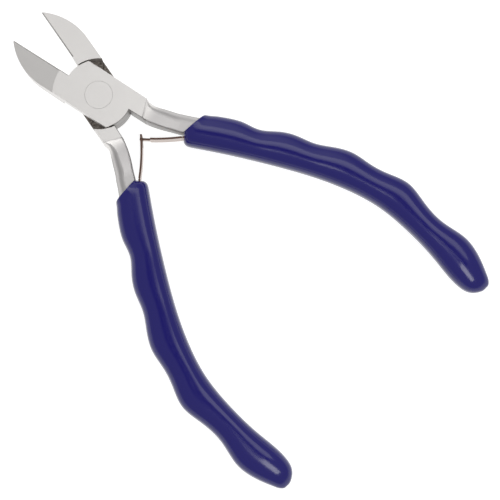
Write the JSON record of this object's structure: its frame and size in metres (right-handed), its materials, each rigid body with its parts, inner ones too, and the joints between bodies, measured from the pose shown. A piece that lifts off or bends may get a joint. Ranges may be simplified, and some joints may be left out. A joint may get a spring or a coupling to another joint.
{
  "type": "side cutter",
  "caption": "Small lap-joint side cutter with bevelled jaws, dipped handle grips and two interlocked leaf springs that hold it open.",
  "frame": {"origin": "on the pivot axis, at the rear face of the head, which the tool lies on", "axes": "+X to the jaw tips, +Z out of the front face of the head, +Y to the side of the front half's jaw"},
  "size_m": [0.1252, 0.0787, 0.008],
  "materials": {
    "forged_steel": "satin polished, ground flat on the head",
    "dipped_vinyl": "glossy dark blue dip coat",
    "spring_steel": "blank spring strip"
  },
  "bodies": {
    "rear_body": {"rear_half": "forged_steel", "rear_grip": "dipped_vinyl", "rear_leaf_root": "spring_steel", "rear_leaf_rivet": "forged_steel", "pivot_rivet": "forged_steel"},
    "front_body": {"front_half": "forged_steel", "front_grip": "dipped_vinyl", "front_leaf_root": "spring_steel", "front_leaf_rivet": "forged_steel"},
    "front_leaf": {"front_leaf_blade": "spring_steel"},
    "rear_leaf": {"rear_leaf_blade": "spring_steel"}
  },
  "joints": [
    {"name": "jaws_pivot", "type": "hinge", "parent": "rear_body", "child": "front_body", "pos_m": [0, 0, 0.004], "axis": [0, 0, 1], "range_deg": [-22, 0], "stiffness_Nm_per_rad": 1, "springref_deg": 1.15},
    {"name": "front_leaf_flex", "type": "hinge", "parent": "front_body", "child": "front_leaf", "pos_m": [-0.0216, -0.0068, 0.004], "axis": [0, 0, 1], "range_deg": [-17, 0]},
    {"name": "rear_leaf_flex", "type": "hinge", "parent": "rear_body", "child": "rear_leaf", "pos_m": [-0.02135, 0.00754, 0.004], "axis": [0, 0, 1], "range_deg": [0, 17]}
  ],
  "couplings": [
    {"joint": "front_leaf_flex", "follows": "jaws_pivot", "ratio": 0.77},
    {"joint": "rear_leaf_flex", "follows": "jaws_pivot", "ratio": -0.77}
  ]
}
